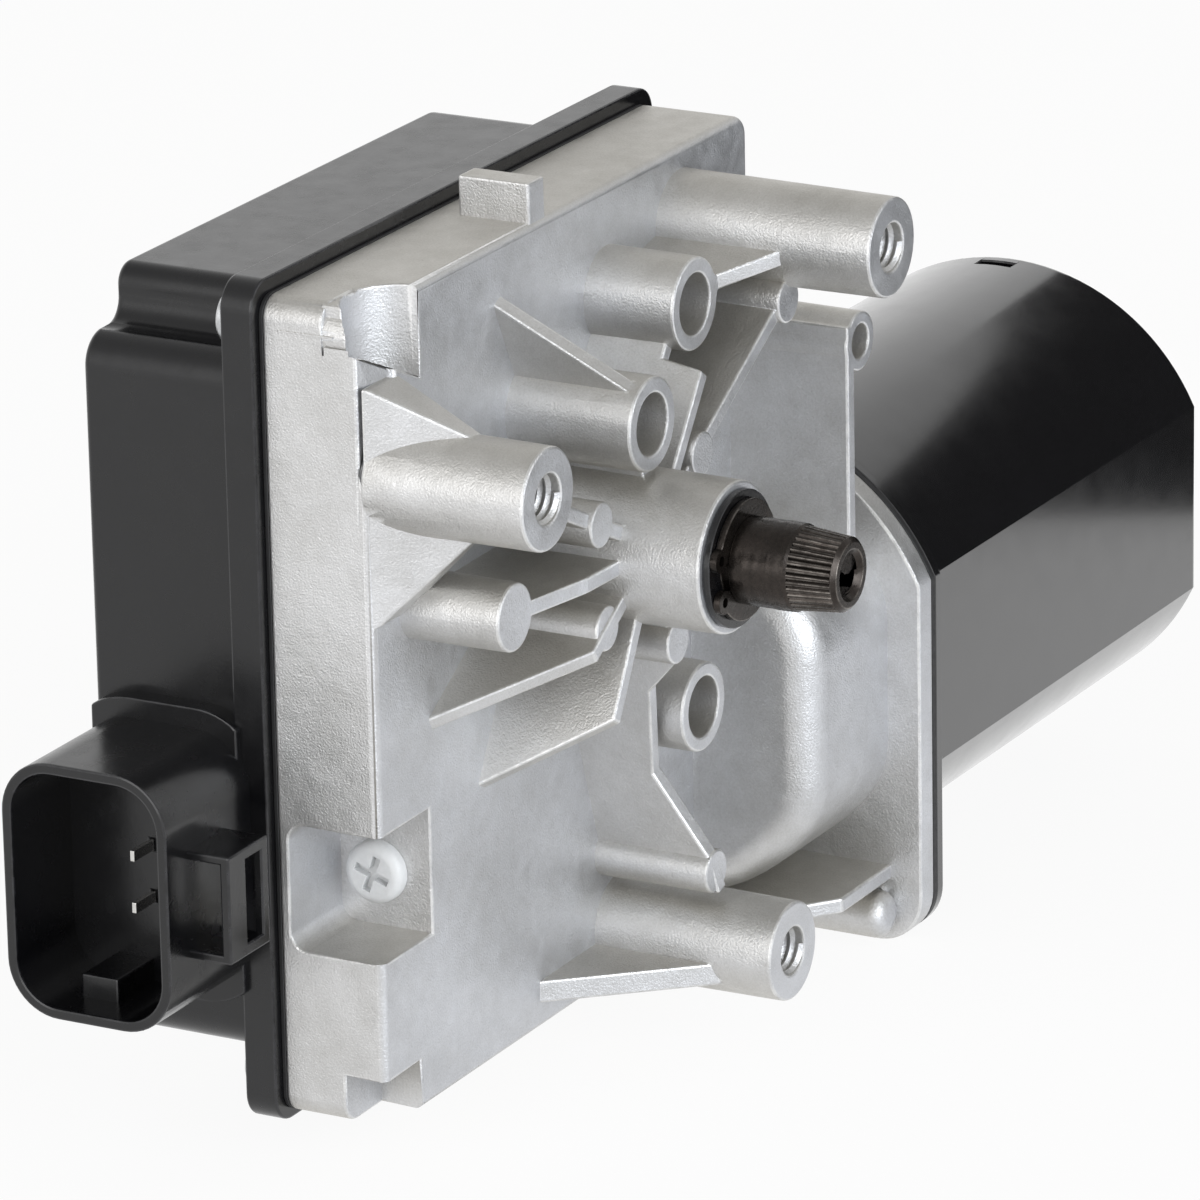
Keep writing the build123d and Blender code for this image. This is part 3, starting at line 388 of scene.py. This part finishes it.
meshCare = {                # how every piece's mesh is cleaned and shaded
    "joinWithin": 0.002,            # millimetres
    "flatWithin": 0.4,              # degrees
    "smoothAngle": 16.0,
    "faceWeight": 80,
    "creaseAngle": 2.5,             # least angle of a border that stays creased
    "creaseShare": 5.0,             # how many times larger its larger face is
}


def cleanMesh(bm):
    bmesh.ops.remove_doubles(bm, verts=bm.verts, dist=meshCare["joinWithin"] * mm)
    bmesh.ops.dissolve_limit(bm, angle_limit=radians(meshCare["flatWithin"]), verts=bm.verts, edges=bm.edges,
                             use_dissolve_boundaries=False, delimit=set())


def mergedCopy(nodeName):
    bm = bmesh.new()
    bm.from_mesh(nodes[nodeName].data)
    cleanMesh(bm)
    return bm


def foldAngle(edge):
    return edge.calc_face_angle(0) if len(edge.link_faces) == 2 else 0.0


def within(edge, low, high):
    middle = (edge.verts[0].co + edge.verts[1].co) / (2 * mm)
    return all(a <= c <= b for a, c, b in zip(low, middle, high))


def creasesIn(bm, low, high):
    bm.edges.index_update()
    found = []
    for edge in bm.edges:
        if within(edge, low, high) and foldAngle(edge) > radians(meshCare["creaseAngle"]):
            small, large = sorted(face.calc_area() for face in edge.link_faces)
            if large > meshCare["creaseShare"] * small:
                found.append(edge.index)
    return found


def appliedCopy(piece):
    return bpy.data.meshes.new_from_object(piece.evaluated_get(bpy.context.evaluated_depsgraph_get()))


def finishMesh(name, bm, slot, body, creaseBox=None):
    creases = creasesIn(bm, *creaseBox) if creaseBox else []
    mesh = takeMesh(name, bm)
    mesh.materials.append(finishOf[slot])
    for face in mesh.polygons:
        face.use_smooth = True
    mesh.set_sharp_from_angle(angle=radians(meshCare["smoothAngle"]))
    for index in creases:
        mesh.edges[index].use_edge_sharp = True
    piece = addObject(name, mesh)
    modifier = piece.modifiers.new("faceNormals", "WEIGHTED_NORMAL")
    modifier.keep_sharp = True
    modifier.weight = meshCare["faceWeight"]
    made = appliedCopy(piece)
    piece.modifiers.clear()
    piece.data = made
    made.name = name
    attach(piece, body)
    return piece


edgeCare = {"segments": 2, "sharpAngle": 28.0, "shortest": 0.35}    # degrees, millimetres


# Rounds the outer edges. Inner corners stay sharp.
def roundEdges(bm, width, plainBox=None):
    bmesh.ops.recalc_face_normals(bm, faces=bm.faces)
    chosen = []
    for edge in bm.edges:
        if foldAngle(edge) > radians(edgeCare["sharpAngle"]) and edge.is_convex:
            longEnough = edge.calc_length() > edgeCare["shortest"] * mm
            if longEnough and not (plainBox and within(edge, *plainBox)):
                chosen.append(edge)
    layer = bm.faces.layers.float.new("edge")
    made = bmesh.ops.bevel(bm, geom=chosen, offset=width * mm, offset_type="OFFSET",
                           segments=edgeCare["segments"], profile=0.5, affect="EDGES", material=-1,
                           clamp_overlap=False)
    for face in made["faces"]:
        face[layer] = 1.0
    return bm


def blockMesh(ranges):
    bm = bmesh.new()
    low, high = (Vector(corner) * mm for corner in zip(*ranges))
    place = Matrix.Translation((low + high) / 2) @ Matrix.Diagonal((*(high - low), 1))
    bmesh.ops.create_cube(bm, size=1.0, matrix=place)
    return bm


def hullMesh(corners):
    bm = bmesh.new()
    for corner in corners:
        bm.verts.new(Vector(corner) * mm)
    made = bmesh.ops.convex_hull(bm, input=bm.verts)
    spare = {part for part in made["geom_interior"] if isinstance(part, bmesh.types.BMVert)}
    bmesh.ops.delete(bm, geom=list(spare), context="VERTS")
    bmesh.ops.recalc_face_normals(bm, faces=bm.faces)
    return bm


def carve(bm, steps):
    piece = addObject("rough", takeMesh("rough", bm))
    tools = []
    for operation, tool in steps:
        tools.append(addObject("tool", takeMesh("tool", tool)))
        modifier = piece.modifiers.new("carve", "BOOLEAN")
        modifier.operation = operation
        modifier.solver = "EXACT"
        modifier.object = tools[-1]
    made = appliedCopy(piece)
    for part in [piece] + tools:
        bpy.data.objects.remove(part)
    bm = bmesh.new()
    bm.from_mesh(made)
    cleanMesh(bm)
    return bm


# The scoop in the case's upper left corner, cut from above, with a lining and a sloped filling under it.
# Its floor slants down to the right.
scoop = {
    "centre": (-38.0, 25.5), "radius": 7.5, "sides": 64, "top": 50.0, "bottom": 20.0,
    "floorAt": (-44.4, 35.7), "floorTo": (-29.3, 29.0),
    "lining": ((-43.2, -28.6), (28.6, 34.0), (27.5, 41.8)),
    "slope": [(-44.4, 28.4, 36.5), (-44.4, 28.4, 13.0), (-29.0, 26.82, 31.5), (-29.0, 26.82, 28.9),
              (-37.1, 26.82, 20.8), (-37.1, 26.82, 13.0), (-44.4, 33.0, 36.5), (-44.4, 33.0, 13.0),
              (-29.0, 33.0, 31.5), (-37.1, 33.0, 13.0)],
}


def scoopMesh(spec):
    bm = bmesh.new()
    x, y = spec["centre"]
    top, bottom = spec["top"], spec["bottom"]
    radius = spec["radius"] * mm
    place = Matrix.Translation(Vector((x, y, (top + bottom) / 2)) * mm)
    bmesh.ops.create_cone(bm, cap_ends=True, segments=spec["sides"], radius1=radius, radius2=radius,
                          depth=(top - bottom) * mm, matrix=place)
    (x0, z0), (x1, z1) = spec["floorAt"], spec["floorTo"]
    cut = bmesh.ops.bisect_plane(bm, geom=bm.verts[:] + bm.edges[:] + bm.faces[:], clear_inner=True,
                                 plane_co=Vector((x0, 0, z0)) * mm, plane_no=Vector((z0 - z1, 0, x1 - x0)))
    rim = [part for part in cut["geom_cut"] if isinstance(part, bmesh.types.BMEdge)]
    bmesh.ops.edgenet_fill(bm, edges=rim)
    bmesh.ops.recalc_face_normals(bm, faces=bm.faces)
    return bm


# Cross recesses cut into the screw heads: two crossing slots each. The heads face along axis 0 or 1.
recesses = {
    "cover_screws": {
        "along": 1, "top": 49.9, "deep": 1.4, "length": 4.6, "width": 1.0, "turns": (20, 65, 10, 50, 80),
        "places": [(-39.6, 37.4), (56.4, 37.0), (56.0, -3.0), (-38.6, -66.0), (34.0, -66.0)],
    },
    "can_screws": {
        "along": 0, "top": 76.0, "deep": 1.5, "length": 5.0, "width": 1.1, "turns": (30, 75),
        "places": [(10.5, -71.3), (59.1, -7.3)],
    },
}


def recessSteps(spec):
    steps = []
    size = Matrix.Diagonal((spec["length"] * mm, 2 * spec["deep"] * mm, spec["width"] * mm, 1))
    for (u, v), turn in zip(spec["places"], spec["turns"]):
        for quarter in (0, 90):
            bm = bmesh.new()
            bmesh.ops.create_cube(bm, size=1.0, matrix=size)
            bmesh.ops.rotate(bm, verts=bm.verts, matrix=Matrix.Rotation(radians(turn + quarter), 3, "Y"))
            if spec["along"] == 0:
                bmesh.ops.rotate(bm, verts=bm.verts, matrix=Matrix.Rotation(radians(90), 3, "Z"))
            place = (u, spec["top"], v) if spec["along"] == 1 else (spec["top"], u, v)
            bmesh.ops.translate(bm, verts=bm.verts, vec=Vector(place) * mm)
            steps.append(("DIFFERENCE", bm))
    return steps


# Where flat gussets run into a round boss, their borders stay creased, in millimetres.
creaseBoxes = {"gear_housing": ((-46, 9, 4), (-27, 26.5, 29))}

# Where added metal lies flush with the case's side, the border is left as it is.
plainBoxes = {"gear_housing": ((-44.6, 28.6, 12), (-44.2, 34, 37.3))}

roundings = {           # width of the rounded edge, in millimetres
    "gear_housing": 0.35,
    "rear_cover": 0.30,
    "motor_can": 0.25,
    "output_shaft": 0.12,
    "can_gasket": 0.15,
    "cover_gasket": 0.10,
    "retaining_clip": 0.15,
    "shaft_washer": 0.15,
    "connector_terminals": 0.10,
    "cover_screws": 0.35,
    "can_screws": 0.40,
    "thrust_screw": 0.10,
    "shaft_seal": 0.20,
}


# A merged copy of a CAD node with its sharp edges rounded stands for the node.
def dressNode(nodeName, width):
    bm = mergedCopy(nodeName)
    if nodeName == "gear_housing":
        bm = carve(bm, [("UNION", blockMesh(scoop["lining"])), ("UNION", hullMesh(scoop["slope"])),
                        ("DIFFERENCE", scoopMesh(scoop))])
    if nodeName in recesses:
        bm = carve(bm, recessSteps(recesses[nodeName]))
    bm = roundEdges(bm, width, plainBoxes.get(nodeName))
    piece = finishMesh(nodeName + "_skin", bm, slotOf[nodeName], bodyOf[nodeName],
                       creaseBoxes.get(nodeName))
    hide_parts(nodeName)
    low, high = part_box(nodeName)
    over = 0.0
    for corner in piece.bound_box:
        over = max(over, *(max(low[i] - corner[i], corner[i] - high[i]) for i in range(3)))
    print("dressed", nodeName, len(piece.data.polygons), "faces, past its box by", round(over / mm, 3), "mm")


for nodeName, width in roundings.items():
    dressNode(nodeName, width)


bossThread = {
    "radius": 3.38, "rise": 0.52, "pitch": 1.25, "turns": 9, "body": "housing", "slot": "cast_aluminium",
}
threads = {
    "boss_left_thread": {**bossThread, "centre": (-38.0, 18.2), "start": 4.9},
    "boss_right_thread": {**bossThread, "centre": (41.0, 31.9), "start": -4.6},
    "boss_low_thread": {**bossThread, "centre": (20.0, -62.6), "start": 0.7},
    "shaft_end_thread": {
        "centre": (0.0, 0.0), "start": -18.9, "radius": 2.52, "rise": 0.42, "pitch": 1.0, "turns": 12,
        "body": "output", "slot": "oxide_steel",
    },
}
threadShape = {
    "flank": 0.46,              # of the pitch
    "crest": 0.05,              # half its width, in millimetres
    "steps": 40,                # to a turn
}


# Screw threads: a closed ridge with four corners is screwed round the axis along Y.
def makeThread(name, spec, shape):
    x, z = spec["centre"]
    outer, inner = spec["radius"], spec["radius"] - spec["rise"]
    flank, crest, steps = shape["flank"] * spec["pitch"], shape["crest"], shape["steps"]
    bm = bmesh.new()
    corners = [(outer, -flank), (inner, -crest), (inner, crest), (outer, flank)]
    verts = [bm.verts.new(((x + r) * mm, (spec["start"] + y) * mm, z * mm)) for r, y in corners]
    edges = [bm.edges.new((verts[i], verts[(i + 1) % 4])) for i in range(4)]
    bmesh.ops.spin(bm, geom=verts + edges, cent=(x * mm, 0, z * mm), axis=(0, 1, 0),
                   dvec=(0, spec["pitch"] * mm / steps, 0), angle=2 * pi * spec["turns"],
                   steps=steps * spec["turns"])
    rims = [edge for edge in bm.edges if edge.is_boundary]
    bmesh.ops.holes_fill(bm, edges=rims, sides=4)
    bmesh.ops.recalc_face_normals(bm, faces=bm.faces)
    return finishMesh(name, bm, spec["slot"], spec["body"])


for threadName, spec in threads.items():
    makeThread(threadName, spec, threadShape)
print("threads cut:", len(threads))


# The plain shoulder that covers the run-out of the splines: a ring turned round the shaft's axis.
shoulder = {
    "profile": [(5.2, -9.6), (5.93, -9.8), (5.96, -10.2), (5.90, -12.5), (5.6, -12.9), (4.9, -12.9)],
    "steps": 96, "body": "output", "slot": "oxide_steel",
}


def turnedRing(name, spec):
    bm = bmesh.new()
    verts = [bm.verts.new((r * mm, y * mm, 0)) for r, y in spec["profile"]]
    edges = [bm.edges.new((verts[i], verts[(i + 1) % len(verts)])) for i in range(len(verts))]
    bmesh.ops.spin(bm, geom=verts + edges, cent=(0, 0, 0), axis=(0, 1, 0), angle=2 * pi,
                   steps=spec["steps"], use_merge=True)
    bmesh.ops.remove_doubles(bm, verts=bm.verts, dist=meshCare["joinWithin"] * mm)
    bmesh.ops.recalc_face_normals(bm, faces=bm.faces)
    return finishMesh(name, bm, spec["slot"], spec["body"])


turnedRing("shaft_shoulder", shoulder)
print("shoulder turned")


# The brush springs: each is a smoothed copy of its CAD node, with a mesh of its own.
springs = {
    "brush_spring_upper": {"joint": "brush_upper_slide", "away": (0, 0, 1), "anchor": (57.5, 34.8, -14.65)},
    "brush_spring_lower": {"joint": "brush_lower_slide", "away": (0, 0, 1), "anchor": (57.5, 34.8, -63.95)},
}

for nodeName, spec in springs.items():
    coil = finishMesh(nodeName + "_coil", mergedCopy(nodeName), slotOf[nodeName], bodyOf[nodeName])
    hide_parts(nodeName)
    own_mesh(coil)
print("springs fitted:", len(springs))


# The casting's parting line on its left side: a fine raised seam, in millimetres.
seam = {"x": -44.4, "proud": 0.10, "sunk": 0.2, "along": (31.8, 39.6), "z": 37.9, "wide": 0.28, "soft": 0.45}


def makeSeam(spec):
    half = spec["wide"] / 2
    near, far = spec["along"]
    bm = blockMesh(((spec["x"] - spec["proud"], spec["x"] + spec["sunk"]), (near - half, far + half),
                    (spec["z"] - half, spec["z"] + half)))
    bmesh.ops.bevel(bm, geom=bm.edges[:], offset=spec["proud"] * mm * spec["soft"], offset_type="OFFSET",
                    segments=2, profile=0.5, affect="EDGES", material=-1)
    return finishMesh("casting_seam", bm, "cast_aluminium", "housing")


makeSeam(seam)
print("seam added")

for nodeName, node in nodes.items():
    node.data.materials.clear()
    node.data.materials.append(finishOf[slotOf[nodeName]])
print("nodes finished:", len(nodes))


studio = {
    "worldLevel": 0.76,
    "overheadLevel": 0.45,
    "overheadRange": (0.25, 0.95),     # how far up the sky starts and ends its fall to the overhead level
    "worldTint": (1.0, 0.985, 0.96),
    "lamps": [
        {"name": "leftSoftbox", "place": (-1.5, 0.1, 0.45), "size": 1.3, "watts": 10.0,
         "tint": (1.0, 1.0, 1.0)},
        {"name": "frontSoftbox", "place": (-0.5, -1.7, 0.45), "size": 1.2, "watts": 21.0,
         "tint": (0.90, 0.95, 1.0)},
    ],
    "lampAim": (0.04, 0.03, -0.02),    # metres, like the lamps' places
    "floorZ": -78.6,
    "floorReach": 8.0,
    "floorTone": 0.95,
    "floorLift": 0.92,                 # share of plain white that the lens and mirrors see
    "panelRough": 0.9,
    "cardPlace": (250.0, -62.0),       # dark card that the can mirrors, outside the view
    "cardTurn": -28.0,
    "cardWide": 300.0,
    "cardHigh": 172.0,
    "cardGap": 0.5,                    # between the card and the floor
    "cardTone": 0.015,
}


def makePanel(name, place, tone, rough):
    bm = bmesh.new()
    bmesh.ops.create_grid(bm, x_segments=1, y_segments=1, size=1.0, matrix=place)
    mesh = takeMesh(name, bm)
    material = bpy.data.materials.new(name)
    material.use_nodes = True
    shader = material.node_tree.nodes["Principled BSDF"]
    shader.inputs["Base Color"].default_value = (tone, tone, tone, 1)
    shader.inputs["Roughness"].default_value = rough
    mesh.materials.append(material)
    panel = addObject(name, mesh)
    return panel


def liftFloor(tree, share):
    path = addNode(tree, "LightPath").outputs
    seen = calc(tree, "MAXIMUM", path["Is Camera Ray"], path["Is Glossy Ray"])
    white = addNode(tree, "Emission", {"Color": (1, 1, 1, 1), "Strength": 1.0})
    shader = tree.nodes["Principled BSDF"]
    both = addNode(tree, "MixShader", {"Fac": calc(tree, "MULTIPLY", seen, share)})
    tree.links.new(shader.outputs["BSDF"], both.inputs[1])
    tree.links.new(white.outputs["Emission"], both.inputs[2])
    tree.links.new(both.outputs["Shader"], tree.nodes["Material Output"].inputs["Surface"])


def makeSky(spec):
    world = bpy.data.worlds.new("studio")
    bpy.context.scene.world = world
    world.use_nodes = True
    tree = world.node_tree
    background = tree.nodes["Background"]
    path = addNode(tree, "LightPath").outputs
    seen = calc(tree, "MAXIMUM", path["Is Camera Ray"], path["Is Glossy Ray"])
    dim = (*(spec["worldLevel"] * c for c in spec["worldTint"]), 1)
    tree.links.new(mix(tree, "RGBA", seen, dim, (1, 1, 1, 1)), background.inputs["Color"])
    upward = addNode(tree, "SeparateXYZ", {"Vector": addNode(tree, "TexCoord").outputs["Generated"]})
    overhead = mapRange(tree, upward.outputs["Z"], *spec["overheadRange"], 1.0, spec["overheadLevel"])
    level = mix(tree, "FLOAT", path["Is Camera Ray"], overhead, 1.0)
    tree.links.new(level, background.inputs["Strength"])


def makeLamp(lamp, target):
    data = bpy.data.lights.new(lamp["name"], "AREA")
    data.size = lamp["size"]
    data.energy = lamp["watts"]
    data.color = lamp["tint"]
    light = addObject(lamp["name"], data)
    aim = Vector(target) - Vector(lamp["place"])
    turn = aim.to_track_quat("-Z", "Y").to_matrix().to_4x4()
    light.matrix_world = Matrix.Translation(lamp["place"]) @ turn


def makeFloor(spec):
    place = Matrix.Translation((0, 0, spec["floorZ"] * mm)) @ Matrix.Scale(spec["floorReach"], 4)
    floor = makePanel("studioFloor", place, spec["floorTone"], spec["panelRough"])
    liftFloor(floor.data.materials[0].node_tree, spec["floorLift"])


def makeCard(spec):
    x, y = spec["cardPlace"]
    size = Matrix.Diagonal((spec["cardWide"] * mm / 2, spec["cardHigh"] * mm / 2, 1, 1))
    stand = Matrix.Rotation(radians(90 + spec["cardTurn"]), 4, "Z") @ Matrix.Rotation(radians(90), 4, "X")
    middle = Vector((x, y, spec["floorZ"] + spec["cardHigh"] / 2 + spec["cardGap"])) * mm
    place = Matrix.Translation(middle) @ stand @ size
    card = makePanel("darkCard", place, spec["cardTone"], spec["panelRough"])
    card.visible_camera = False
    card.visible_diffuse = False
    card.visible_shadow = False


makeSky(studio)
for lamp in studio["lamps"]:
    makeLamp(lamp, studio["lampAim"])
makeFloor(studio)
makeCard(studio)
bpy.context.scene.view_settings.view_transform = "Standard"
print("studio ready")
